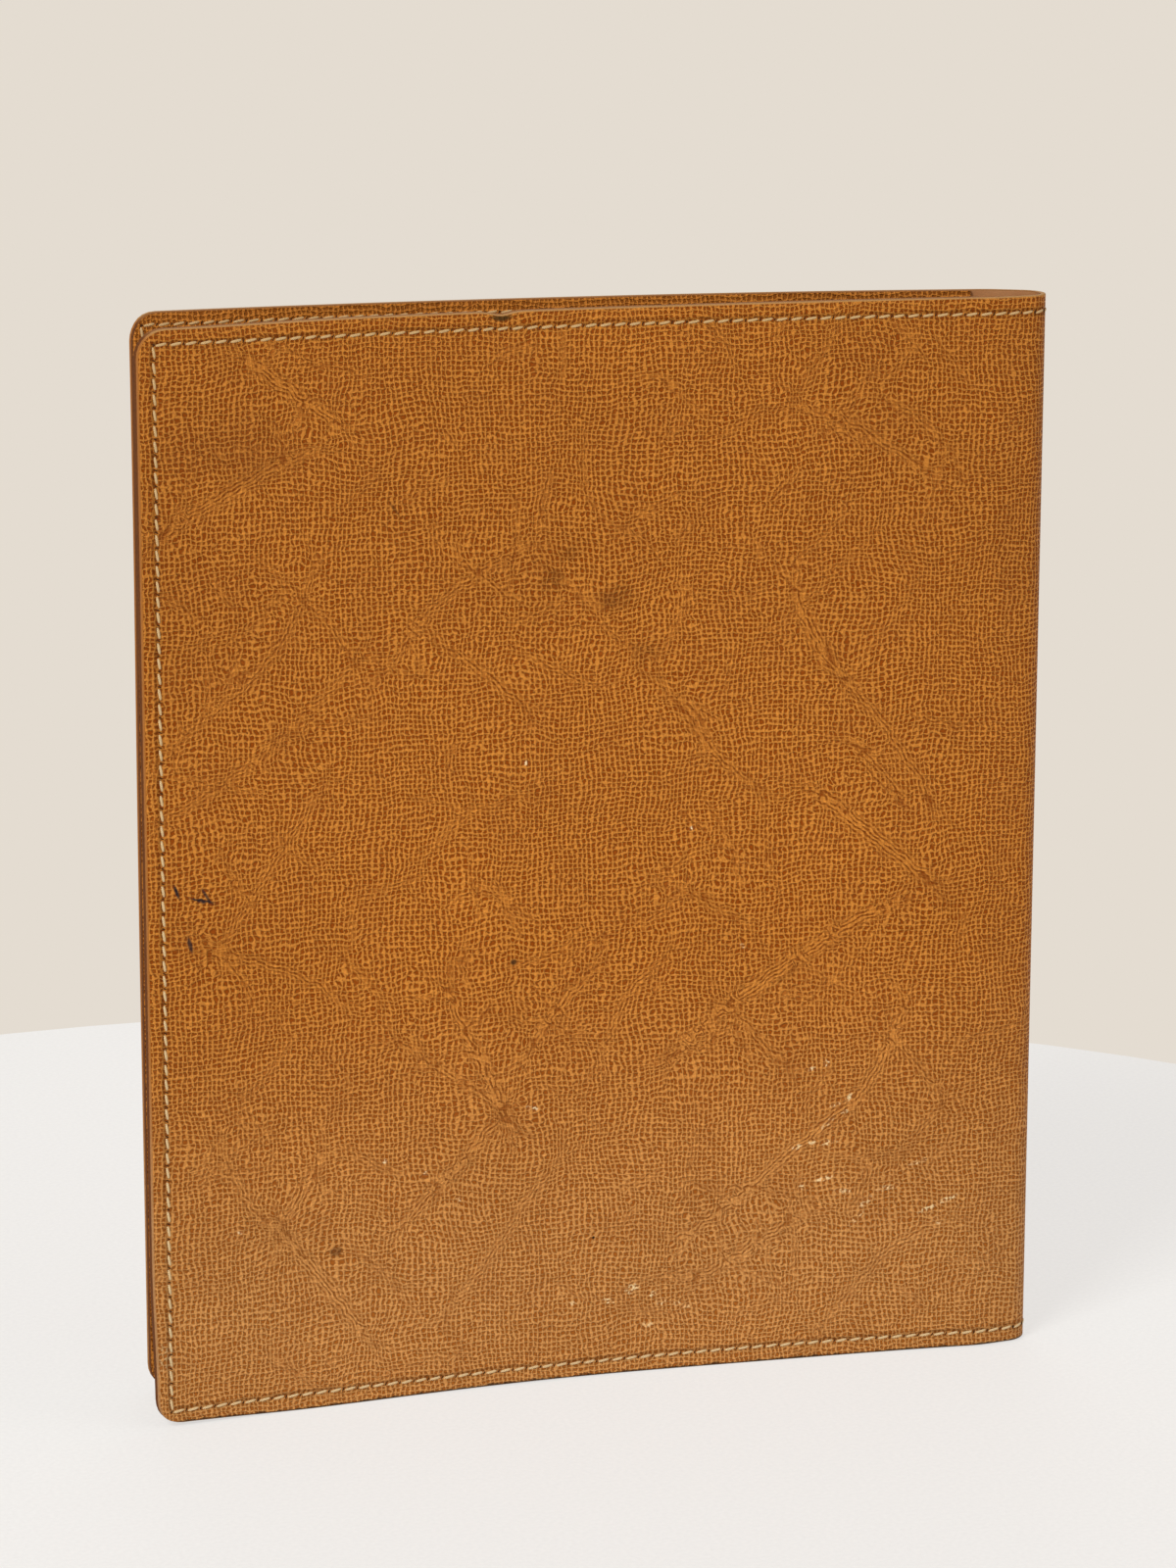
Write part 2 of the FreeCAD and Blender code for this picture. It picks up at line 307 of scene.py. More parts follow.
def cut_grid(columns, rows, corner, inset, open_start):
    """The distances and heights at which a sheet's columns and rows cross, this far inside its cut edge."""
    start, end, low, high = columns[0], columns[-1], rows[0] - corner, rows[-1] + corner
    turns = np.linspace(0, math.pi / 2, 8)
    radius = corner - inset
    foot = low + inset + radius * (1 - np.cos(turns))
    heights = np.concatenate([foot[:-1], rows, (low + high - foot)[::-1][1:]])
    reach = end - inset - radius * (1 - np.sin(turns))
    reaches = np.concatenate([reach[:-1], np.full(len(rows), end - inset), reach[::-1][1:]])
    along = np.repeat(columns[None, :], len(heights), 0)
    # the columns close up towards the rounded corners, and towards a rounded start
    squeeze_from = end - corner - 10.0
    share = (along - squeeze_from) / (end - squeeze_from)
    squeezed = squeeze_from + share * (reaches[:, None] - squeeze_from)
    along = np.where(along > squeeze_from, squeezed, along)
    if not open_start:
        ease = min(5.0, (end - start) / 3)
        near = start + inset + (along - start) * (ease - inset) / ease
        along = np.where(along < start + ease, near, along)
    return along, np.repeat(heights[:, None], len(columns), 1)


def sheet_faces(tall, wide, picks, rings):
    """The faces of a sheet whose points are its outer grid, the rings round its edge and its inner grid,
    and the number of each face's material: outer face, inner face or cut edge."""
    numbers = np.arange(tall * wide).reshape(tall, wide)
    quads = np.stack([numbers[:-1, :-1], numbers[:-1, 1:], numbers[1:, 1:], numbers[1:, :-1]], -1)
    quads = quads.reshape(-1, 4)
    edge = numbers[picks]
    inner = tall * wide + rings * len(edge)
    loops = [edge, *(tall * wide + k * len(edge) + np.arange(len(edge)) for k in range(rings)), inner + edge]
    walls = [np.stack([one, np.roll(one, -1), np.roll(two, -1), two], -1)
             for one, two in zip(loops, loops[1:])]
    faces = np.concatenate([quads, quads[:, ::-1] + inner] + walls)
    finish = np.full(len(faces), 2)
    finish[:len(quads)] = 0
    finish[len(quads):2 * len(quads)] = 1
    return faces, finish


def cut_sheet(name, line, columns, rows, deep, corner, arris, materials, cover=None, worn=True, rise=None,
              open_start=False):
    """A closed sheet cut to shape, with rounded arrises and rounded fore-edge corners.

    columns are distances along the line, and rows are heights outside the corners. deep is the depth of
    its two faces, and materials are those of the outer face, the inner face and the cut edge. A sheet of
    a cover is wavy as that cover is, and worn at its edges. rise gives how far it also stands inwards at
    a distance and height. open_start leaves its start square.
    """
    along, height = cut_grid(columns, rows, corner, arris, open_start)
    tall, wide = along.shape
    around = [(0, i) for i in range(wide)] + [(j, wide - 1) for j in range(1, tall)]
    around += [(tall - 1, i) for i in range(wide - 2, -1, -1)] + [(j, 0) for j in range(tall - 2, 0, -1)]
    picks = tuple(np.array(around).T)
    arcs = np.radians((30, 60, 90))
    rings = [(arris * (1 - math.sin(t)), deep[0] + arris * (1 - math.cos(t))) for t in arcs]
    rings += [(arris * (1 - math.sin(t)), deep[1] - arris * (1 - math.cos(t))) for t in arcs[::-1]]
    parts = [(along.ravel(), height.ravel(), np.full(along.size, deep[0]))]
    for inset, depth in rings:
        a, z = cut_grid(columns, rows, corner, inset, open_start)
        parts.append((a[picks], z[picks], np.full(len(around), depth)))
    parts.append((along.ravel(), height.ravel(), np.full(along.size, deep[1])))
    a, z, d = (np.concatenate(values) for values in zip(*parts))
    inwards = relaxed(cover, a, z) if cover else 0.0
    if rise:
        inwards = inwards + rise(a, z)
    slid, risen = settled(cover, a, z) if cover and worn else (0.0, 0.0)
    points = placed(line, a + slid, d + inwards, z + risen)

    faces, finish = sheet_faces(tall, wide, picks, len(rings))
    mesh = bpy.data.meshes.new(name)
    mesh.from_pydata(points.tolist(), [], faces.tolist())
    mesh.polygons.foreach_set("material_index", finish.astype(np.int32))
    mesh.polygons.foreach_set("use_smooth", np.ones(len(faces), bool))
    work = bmesh.new()
    work.from_mesh(mesh)
    bmesh.ops.recalc_face_normals(work, faces=work.faces)
    work.to_mesh(mesh)
    work.free()
    mesh.set_sharp_from_angle(angle=math.radians(50))
    # patterns lie on the sheet as it was cut, in millimetres
    flat = np.stack([line["side"] * a, z, d], -1)
    mesh.attributes.new("cut_mm", "FLOAT_VECTOR", "POINT").data.foreach_set("vector", flat.ravel())
    for material in materials:
        mesh.materials.append(material)
    made = bpy.data.objects.new(name, mesh)
    bpy.context.scene.collection.objects.link(made)
    return made, a, z


def bend_between(piece):
    """Bakes into its mesh the placement of a piece that crosses a fold, from the spine to its cover."""
    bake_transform(piece)


# Creases of the hide on the back cover, where the grain runs together into ridges. Each is how far it
# reaches to its sides, its strength and its points, as distance from the fold and height.
BACK_CREASES = (
    (2.6, 0.9, (178, 246), (156, 230)),
    (2.6, 0.9, (198, 208), (182, 217), (162, 225)),
    (1.9, 0.8, (199, 158), (180, 172), (171, 180), (165, 191), (162, 199)),
    (1.8, 0.7, (165, 191), (160, 186), (154, 177)),
    (1.8, 0.7, (170, 161), (160, 168), (151, 177)),
    (1.9, 0.8, (147, 173), (141, 178), (137, 186), (120, 197), (112, 200)),
    (1.9, 0.8, (131, 178), (124, 173), (112, 163)),
    (1.8, 0.7, (112, 175), (97, 167), (94, 167)),
    (1.8, 0.7, (94, 181), (87, 175)),
    (1.9, 0.8, (79, 166), (71, 156), (68, 150), (57, 141)),
    (2.6, 0.9, (48, 188), (44, 177), (36, 166)),
    (2.0, 0.85, (36, 166), (24, 152), (14, 135)),
    (1.5, 0.55, (35, 166), (28, 175), (20, 186)),
    (2.0, 0.85, (48, 230), (35, 226), (18, 215)),
    (1.8, 0.7, (27, 231), (18, 226), (12, 220)),
    (1.8, 0.7, (49, 231), (43, 240), (39, 248)),
    (2.8, 1.0, (42, 139), (36, 134), (14, 116)),
    (2.8, 1.0, (77, 77), (62, 90), (45, 100), (32, 108), (24, 111)),
    (1.9, 0.8, (62, 88), (52, 76), (49, 73)),
    (1.9, 0.8, (94, 79), (89, 91), (86, 95), (78, 102)),
    (2.1, 1.0, (112, 81), (104, 92), (97, 99)),
    (2.1, 1.0, (131, 97), (128, 88), (120, 72), (116, 63)),
    (1.9, 0.8, (144, 87), (134, 79), (127, 75), (119, 68)),
    (2.6, 0.9, (118, 67), (128, 56), (143, 42)),
    (1.9, 0.8, (186, 64), (179, 49), (173, 44)),
    (2.0, 0.85, (173, 44), (162, 60)),
    (2.6, 0.9, (172, 44), (162, 31), (152, 16)),
    (1.8, 0.7, (174, 13), (161, 3)),
    (1.9, 0.8, (132, 20), (120, 33), (112, 46), (104, 55)),
    (1.8, 0.7, (153, 36), (145, 29)),
    (2.2, 1.0, (20, 88), (20, 84), (25, 74), (31, 64), (37, 60), (48, 51), (61, 41), (73, 33)),
    (1.8, 0.7, (22, 78), (11, 64)),
    (1.8, 0.7, (20, 50), (10, 62)),
    (2.6, 0.9, (71, 22), (57, 29), (44, 36)),
    (1.9, 0.8, (41, 4), (33, 16), (22, 27), (10, 32)),
    (1.9, 0.8, (186, 112), (180, 120), (170, 135), (161, 147)),
    (1.9, 0.8, (199, 143), (184, 150), (170, 160)),
    (1.9, 0.8, (186, 112), (166, 104), (157, 97)),
    (1.8, 0.7, (156, 107), (149, 99)),
    (1.8, 0.7, (83, 119), (71, 127)),
    (1.8, 0.7, (76, 118), (60, 109)),
    (1.8, 0.7, (136, 130), (128, 139), (115, 142)),
)


def wandering_creases(count, seed, reaches, stride, strength):
    """Creases of the same kind, where the hide has none that matter by themselves."""
    chance = np.random.default_rng(seed)
    found = []
    for _ in range(count):
        point = np.array((chance.uniform(4, COVER_WIDTH - 3), chance.uniform(6, COVER_HEIGHT - 6)))
        bearing = chance.choice((0.9, 2.2)) + chance.normal(0, 0.45)
        points = [tuple(point)]
        for _ in range(chance.integers(1, 4)):
            bearing += chance.normal(0, 0.35)
            point = point + chance.uniform(*stride) * np.array((math.cos(bearing), math.sin(bearing)))
            points.append(tuple(point))
        found.append((chance.uniform(*reaches), strength * chance.uniform(0.7, 1.0), *points))
    return found


def feathered(creases, seed):
    """Short fine creases that fan out from both ends of each crease."""
    chance = np.random.default_rng(seed)
    found = []
    for _, strength, *points in creases:
        for end, before in ((points[0], points[1]), (points[-1], points[-2])):
            ahead = math.atan2(end[1] - before[1], end[0] - before[0])
            for turn in (-0.45, 0.4):
                bearing = ahead + turn + chance.normal(0, 0.15)
                reach = chance.uniform(5, 9)
                tip = (end[0] + reach * math.cos(bearing), end[1] + reach * math.sin(bearing))
                root = (end[0] - 2 * math.cos(ahead), end[1] - 2 * math.sin(ahead))
                found.append((chance.uniform(0.9, 1.3), 0.75 * strength, root, end, tip))
    return found


def softened(points, chance):
    """A crease's points, rounded and closer together, with the small wander of a real one."""
    points = np.array(points, float)
    for _ in range(3):
        before = points
        near, far = before[:-1] * 0.75 + before[1:] * 0.25, before[:-1] * 0.25 + before[1:] * 0.75
        points = np.empty((2 * len(near) + 2, 2))
        points[0], points[-1] = before[0], before[-1]
        points[1:-1:2], points[2:-1:2] = near, far
    points[1:-1] += chance.normal(0, 0.28, (len(points) - 2, 2))
    return points


CREASE_SQUEEZE = 0.6  # of a crease's reach, how much grain it takes up
CREASE_FIELD = 7.0  # how far round a crease the grain is drawn towards it
SEAM_MARGINS = {"back": 3.8, "front": 2.75}  # from the cut edge to the seam


def mark_creases(piece, cover, along, height, creases, seed):
    """Stores the signed distance to the nearest crease, how deeply the grain is creased there, where
    the emboss lay before it was drawn towards the creases, and the distance to the seam."""
    chance = np.random.default_rng(seed)
    past = along - FOLD
    nearest = np.full(len(along), 1e3)
    across, depth = np.zeros(len(along)), np.zeros(len(along))
    drawn = np.zeros((len(along), 2))
    for reach, strength, *points in creases:
        line = softened(points, chance)
        low, high = line.min(0) - 2 * CREASE_FIELD, line.max(0) + 2 * CREASE_FIELD
        near = np.nonzero((past > low[0]) & (past < high[0]) & (height > low[1]) & (height < high[1]))[0]
        gap, away = np.full(len(near), 1e3), np.zeros(len(near))
        turned, share = np.zeros((len(near), 2)), np.zeros(len(near))
        lengths = np.hypot(*np.diff(line, axis=0).T)
        done = 0.0
        for start, end, length in zip(line, line[1:], lengths):
            ahead = (end - start) / length
            offset = np.stack([past[near], height[near]], -1) - start
            t = np.clip(offset @ ahead, 0, length)
            here = np.hypot(*(offset - t[:, None] * ahead).T)
            closer = here < gap
            gap[closer] = here[closer]
            away[closer] = (offset @ np.array((ahead[1], -ahead[0])))[closer]
            turned[closer] = (ahead[1], -ahead[0])
            share[closer] = ((done + t) / lengths.sum())[closer]
            done += length
        width = reach * (0.45 + 0.55 * np.clip(np.sin(np.pi * share), 0, 1) ** 0.6)
        pull = CREASE_SQUEEZE * strength * width * np.tanh(away / width)
        pull *= np.exp(-(gap / CREASE_FIELD) ** 2)
        drawn[near] += pull[:, None] * turned
        depth[near] = np.maximum(depth[near], strength * np.exp(-(gap / width) ** 2))
        closest = gap < nearest[near]
        across[near[closest]] = away[closest]
        nearest[near[closest]] = gap[closest]
    beside = edge_gap(along, height) - SEAM_MARGINS[cover]
    for name, values in (("crease_across", across), ("crease_depth", depth), ("seam_mm", beside)):
        piece.data.attributes.new(name, "FLOAT", "POINT").data.foreach_set("value", values)
    laid = np.stack([SIDES[cover] * (along + drawn[:, 0]), height + drawn[:, 1], 0 * along], -1)
    emboss = piece.data.attributes.new("emboss_mm", "FLOAT_VECTOR", "POINT")
    emboss.data.foreach_set("vector", laid.ravel())


# Stains, scratches and ink on the back cover: distance from the fold, height, half length, half width,
# slope in degrees, colour and strength.
BACK_STAINS = (
    (106, 191.5, 4.4, 3.4, 0, "#74400F", 0.62),
    (100.5, 198.5, 5.4, 2.6, -30, "#74400F", 0.48),
    (91, 188.5, 5.2, 4.2, 0, "#74400F", 0.34),
    (92.5, 187, 2.6, 2.2, 0, "#6E3A12", 0.25),
    (83, 174, 3.8, 3.2, 0, "#74400F", 0.30),
    (196, 126.5, 2.0, 0.45, 70, "#1E1D26", 0.95),
    (190.5, 124.5, 3.2, 0.5, 25, "#1E1D26", 0.95),
    (189, 125, 2.4, 0.4, 60, "#1E1D26", 0.80),
    (193, 114, 2.2, 0.6, 75, "#1E1D26", 0.85),
    (115.5, 103, 0.9, 0.8, 0, "#3A2412", 0.85),
    (159, 37.5, 1.8, 1.4, 0, "#5A3010", 0.60),
    (96, 34.5, 0.4, 0.4, 0, "#17120E", 0.95),
    (143.5, 210.5, 2.6, 0.4, 55, "#4A2609", 0.50),
    (180, 225, 22, 9, 10, "#7A4318", 0.16),
    (118, 253.2, 2.8, 0.8, 0, "#463010", 0.90),
)
# Pale rubs on the back cover, in the same terms, where the finish is worn off the ridges.
BACK_RUBS = (
    (86.5, 21, 1.9, 1.1, -25, "#FFDDA6", 0.76),
    (81, 19.3, 1.4, 0.8, -35, "#FFDDA6", 0.76),
    (79.3, 17.1, 1.2, 0.9, 0, "#FFDDA6", 0.58),
    (92.3, 18.4, 1.5, 0.7, 15, "#FFDDA6", 0.58),
    (101, 18.7, 1.0, 0.6, 0, "#FFDDA6", 0.38),
    (74, 16, 2.9, 0.8, 12, "#FFDDA6", 0.34),
    (82.5, 11.8, 1.4, 0.8, 0, "#FFDDA6", 0.38),
    (39, 73.1, 0.9, 0.8, 0, "#FFDDA6", 0.76),
    (42.5, 71.9, 1.2, 0.6, 0, "#FFDDA6", 0.46),
    (36.8, 62.6, 1.4, 0.6, -15, "#FFDDA6", 0.58),
    (33.5, 64.1, 1.5, 0.6, -50, "#FFDDA6", 0.68),
    (34.4, 60.8, 1.0, 0.6, -15, "#FFDDA6", 0.68),
    (38.5, 58.3, 2.4, 0.6, -45, "#FFDDA6", 0.46),
    (46.2, 52.8, 1.4, 0.7, -15, "#FFDDA6", 0.76),
    (42.3, 53.8, 1.0, 0.6, 0, "#FFDDA6", 0.62),
    (38, 53.5, 2.4, 0.7, -12, "#FFDDA6", 0.42),
    (44.7, 42.8, 0.9, 0.7, 0, "#FFDDA6", 0.50),
    (39.3, 44.5, 2.4, 0.6, -12, "#FFDDA6", 0.50),
    (34.5, 41.2, 2.7, 0.7, 0, "#FFDDA6", 0.34),
    (29, 38, 2.4, 0.8, -40, "#FFDDA6", 0.34),
    (23.7, 41.3, 2.7, 0.7, -10, "#FFDDA6", 0.38),
    (16, 47.4, 2.4, 0.6, -18, "#FFDDA6", 0.42),
    (13.5, 35.6, 2.6, 0.6, -22, "#FFDDA6", 0.50),
    (8.6, 37.7, 2.6, 0.6, -22, "#FFDDA6", 0.62),
    (31, 34, 2.6, 0.7, -45, "#FFDDA6", 0.26),
    (11, 32.3, 1.3, 0.7, 40, "#FFDDA6", 0.38),
    (147, 58, 0.7, 0.6, 0, "#FFE0B0", 0.70),
    (137, 54, 0.8, 0.6, 0, "#FFE0B0", 0.70),
    (129, 47, 0.7, 0.6, 0, "#FFE0B0", 0.65),
    (182, 45, 0.7, 0.6, 0, "#FFE0B0", 0.65),
    (111, 67.5, 1.6, 0.6, 10, "#FFE0B0", 0.60),
    (112.5, 150, 0.7, 0.6, 0, "#FFE0B0", 0.60),
    (72.5, 132, 0.7, 0.6, 0, "#FFE0B0", 0.60),
    (60, 103, 0.7, 0.6, 0, "#FFE0B0", 0.60),
    (201, 17, 2.6, 3.5, 0, "#CDA776", 0.40),
)

EMBOSS_PITCH = 1.18  # from one pit of the emboss to the next, both ways
FURROW_PITCH = 0.9  # between the parallel ridges of a crease


def emboss(tree, flat, laid):
    """The pressed pattern: even rows of pits, which wander because the hide has stretched. Gives how deep
    each place lies in a pit, how far off a knot (where ridges cross) it is, and the wandering place."""
    # it wanders slowly over 26 mm, and more quickly over 3.5 and 1.1 mm
    for over_mm, detail, reach_mm in ((26, 1.0, 5.5), (3.5, 2.0, 1.35), (1.1, 3.0, 1.15)):
        wander = add(tree, "ShaderNodeTexNoise", {"Vector": flat, "Scale": 1 / over_mm, "Detail": detail},
                     "Color")
        wander = add(tree, "ShaderNodeVectorMath", {0: wander, 1: (0.5, 0.5, 0.5)}, operation="SUBTRACT")
        laid = add(tree, "ShaderNodeVectorMath", {0: wander, 1: (reach_mm,) * 3, 2: laid},
                   operation="MULTIPLY_ADD")
    # ridges swell and thin from place to place, and one way of them is stronger than the other
    swell = add(tree, "ShaderNodeTexNoise", {"Vector": flat, "Scale": 1 / 0.9, "Detail": 2.0})
    swell = add(tree, "ShaderNodeMapRange", {"Value": swell, "From Min": 0.3, "From Max": 0.7,
                                             "To Min": -0.42, "To Max": 0.42})
    stronger = add(tree, "ShaderNodeTexNoise", {"Vector": flat, "Scale": 1 / 9, "Detail": 2.0})
    waves = []
    for axis, least, most in (("X", -0.1, 0.32), ("Y", 0.1, -0.32)):
        turn = add(tree, "ShaderNodeSeparateXYZ", {"Vector": laid}, axis)
        turn = add(tree, "ShaderNodeMath", {0: turn, 1: 2 * math.pi / EMBOSS_PITCH}, operation="MULTIPLY")
        wave = add(tree, "ShaderNodeMath", {0: turn}, operation="COSINE")
        wave = add(tree, "ShaderNodeMath", {0: wave, 1: swell}, operation="ADD")
        lean = add(tree, "ShaderNodeMapRange", {"Value": stronger, "From Min": 0.3, "From Max": 0.7,
                                                "To Min": least, "To Max": most})
        wave = add(tree, "ShaderNodeMath", {0: wave, 1: lean}, operation="ADD")
        waves.append(add(tree, "ShaderNodeMapRange", {"Value": wave, "From Min": 0.85, "From Max": -0.3},
                         interpolation_type="SMOOTHSTEP"))
    pit = add(tree, "ShaderNodeMath", {0: waves[0], 1: waves[1]}, operation="MULTIPLY")
    crossing = add(tree, "ShaderNodeMath", {0: waves[0], 1: waves[1]}, operation="MAXIMUM")
    # the stain lies unevenly in the pits
    uneven = add(tree, "ShaderNodeTexNoise", {"Vector": flat, "Scale": 1 / 2.7, "Detail": 3.0})
    uneven = add(tree, "ShaderNodeMapRange", {"Value": uneven, "From Min": 0.32, "From Max": 0.62,
                                              "To Min": 0.88, "To Max": 1.06})
    pit = add(tree, "ShaderNodeMath", {0: pit, 1: uneven}, operation="MULTIPLY")
    return pit, crossing, laid


def furrowed(tree, flat, laid, pit):
    """The pits, run together into parallel furrows along each crease, and its painted light and shade."""
    away = add(tree, "ShaderNodeAttribute", out="Fac", attribute_name="crease_across")
    sway = add(tree, "ShaderNodeTexNoise", {"Vector": flat, "Scale": 1 / 3.0, "Detail": 2.0})
    away = add(tree, "ShaderNodeMath", {0: sway, 1: 1.5, 2: away}, operation="MULTIPLY_ADD")
    turn = add(tree, "ShaderNodeMath", {0: away, 1: 2 * math.pi / FURROW_PITCH}, operation="MULTIPLY")
    furrow = add(tree, "ShaderNodeMath", {0: turn}, operation="COSINE")
    # small bridges break each furrow every 2 mm or so
    broken = add(tree, "ShaderNodeTexNoise", {"Vector": laid, "Scale": 1 / 1.5, "Detail": 1.0})
    furrow = add(tree, "ShaderNodeMath", {0: broken, 1: 3.6, 2: furrow}, operation="MULTIPLY_ADD")
    furrow = add(tree, "ShaderNodeMapRange", {"Value": furrow, "From Min": 1.75, "From Max": 2.9},
                 interpolation_type="SMOOTHSTEP")
    deep = add(tree, "ShaderNodeAttribute", out="Fac", attribute_name="crease_depth")
    deep = add(tree, "ShaderNodeMapRange", {"Value": deep, "From Min": 0.25, "From Max": 0.9, "To Max": 0.72})
    # painted highlight on the crease's ridges and painted shade in its furrows
    painted_crease_shading = add(tree, "ShaderNodeMapRange", {"Value": furrow, "To Min": 0.13, "To Max": -0.18})
    painted_crease_shading = add(tree, "ShaderNodeMath", {0: painted_crease_shading, 1: deep, 2: 1.0}, operation="MULTIPLY_ADD")
    return add(tree, "ShaderNodeMix", {0: deep, 2: pit, 3: furrow}, data_type="FLOAT"), painted_crease_shading


def marked(tree, tone, marks, flat, laid, crumbs=None):
    """Lays soft-edged marks over the colour of the back cover, which is on the minus side of the hide.
    Large ones follow the wandering grain, and rubs show as crumbs on the ridges."""
    for past, up, long, short, slope, colour, strength in marks:
        spot = add(tree, "ShaderNodeMapping",
                   {"Vector": laid if long > 3 else flat, "Location": (-(past + FOLD), up, 0.0),
                    "Rotation": (0.0, 0.0, math.radians(-slope)), "Scale": (long, short, 1.0)},
                   vector_type="TEXTURE")
        away = add(tree, "ShaderNodeVectorMath", {0: spot}, "Value", operation="LENGTH")
        seen = add(tree, "ShaderNodeMapRange", {"Value": away, "From Min": 1.25, "From Max": 0.45,
                                                "To Max": strength}, interpolation_type="SMOOTHSTEP")
        if crumbs:
            seen = add(tree, "ShaderNodeMath", {0: seen, 1: crumbs}, operation="MULTIPLY", use_clamp=True)
        tone = add(tree, "ShaderNodeMix", {0: seen, 6: tone, 7: linear(colour)}, 2, data_type="RGBA")
    return tone


def grained_leather(name, ridges, pits, spread, creased, stains=(), rubs=()):
    """Vegetable-tanned cowhide, embossed with an even pebble and waxed: dark pits between worn, lighter
    ridges, a low broad sheen, and the grain drawn out into parallel ridges where the hide has creased.
    ridges and pits are each a colour at the head and one at the foot, where painted light from the table
    makes them paler."""
    material, tree = blank_material(name)
    flat = add(tree, "ShaderNodeAttribute", out="Vector", attribute_name="cut_mm")
    flat = add(tree, "ShaderNodeVectorMath", {0: flat, 1: (1.0, 1.0, 0.0)}, operation="MULTIPLY")
    laid = add(tree, "ShaderNodeAttribute", out="Vector", attribute_name="emboss_mm") if creased else flat
    pit, crossing, laid = emboss(tree, flat, laid)
    patch = add(tree, "ShaderNodeTexNoise", {"Vector": flat, "Scale": 1 / 34, "Detail": 3.0})
    patch = add(tree, "ShaderNodeMapRange", {"Value": patch, "From Min": 0.3, "From Max": 0.7})
    fine = add(tree, "ShaderNodeTexNoise", {"Vector": flat, "Scale": 1 / 0.55, "Detail": 3.0})
    height = add(tree, "ShaderNodeSeparateXYZ", {"Vector": flat}, "Y")
    # painted light: towards the foot the colours turn paler, as if lit by the table below
    low = add(tree, "ShaderNodeMapRange", {"Value": height, "From Min": 110.0, "From Max": 15.0},
              interpolation_type="SMOOTHSTEP")
    ridge, hollow = (
        add(tree, "ShaderNodeMix", {0: low, 6: linear(head), 7: linear(foot)}, 2, data_type="RGBA")
        for head, foot in (ridges, pits)
    )
    shade = add(tree, "ShaderNodeMapRange", {"Value": patch, "To Min": 1 - spread, "To Max": 1 + spread})
    speckle = add(tree, "ShaderNodeMapRange", {"Value": fine, "From Min": 0.3, "From Max": 0.7,
                                               "To Min": 0.86, "To Max": 1.12})
    # painted highlight: the knots, where ridges cross, are made palest, as where they catch the light
    knot = add(tree, "ShaderNodeMapRange", {"Value": crossing, "To Min": 1.13, "To Max": 0.98})
    # painted shade: darker towards the head, and a little lighter below it
    head = add(tree, "ShaderNodeMapRange", {"Value": height, "From Min": 140.0, "From Max": 225.0,
                                            "To Min": 1.06, "To Max": 0.96}, interpolation_type="SMOOTHSTEP")
    shades = [speckle, knot, head]
    if creased:
        pit, painted_crease_shading = furrowed(tree, flat, laid, pit)
        shades.append(painted_crease_shading)
        # the hide is made darker towards the nose and towards the fore-edge
        past = add(tree, "ShaderNodeSeparateXYZ", {"Vector": flat}, "X")
        past = add(tree, "ShaderNodeMath", {0: past}, operation="ABSOLUTE")
        for start, end, darker in ((3.0, 70.0, 0.93), (FOLD + COVER_WIDTH, FOLD + COVER_WIDTH - 50.0, 0.94)):
            darker_at_sides = add(tree, "ShaderNodeMapRange", {"Value": past, "From Min": start, "From Max": end,
                                                    "To Min": darker}, interpolation_type="SMOOTHSTEP")
            shades.append(darker_at_sides)
        # the seam pulls a shallow groove, drawn by bump, and painted shade darkens the leather along it
        beside = add(tree, "ShaderNodeAttribute", out="Fac", attribute_name="seam_mm")
        beside = add(tree, "ShaderNodeMath", {0: beside}, operation="ABSOLUTE")
        groove = add(tree, "ShaderNodeMapRange", {"Value": beside, "From Min": 1.3, "From Max": 0.2},
                     interpolation_type="SMOOTHSTEP")
        shades.append(add(tree, "ShaderNodeMapRange", {"Value": groove, "To Min": 1.0, "To Max": 0.86}))
    for one in shades:
        shade = add(tree, "ShaderNodeMath", {0: shade, 1: one}, operation="MULTIPLY")
    tone = add(tree, "ShaderNodeMix", {0: pit, 6: ridge, 7: hollow}, 2, data_type="RGBA")
    tone = add(tree, "ShaderNodeVectorMath", {0: tone, 1: shade}, operation="MULTIPLY")
    # the dye has taken a little redder in cloudy patches about a centimetre across
    cloud = add(tree, "ShaderNodeTexNoise", {"Vector": flat, "Scale": 1 / 10.0, "Detail": 4.0})
    cloud = add(tree, "ShaderNodeMapRange", {"Value": cloud, "From Min": 0.48, "From Max": 0.72,
                                             "To Max": 0.16})
    tone = add(tree, "ShaderNodeMix", {0: cloud, 6: tone, 7: linear("#98551F")}, 2, data_type="RGBA")
    if creased:
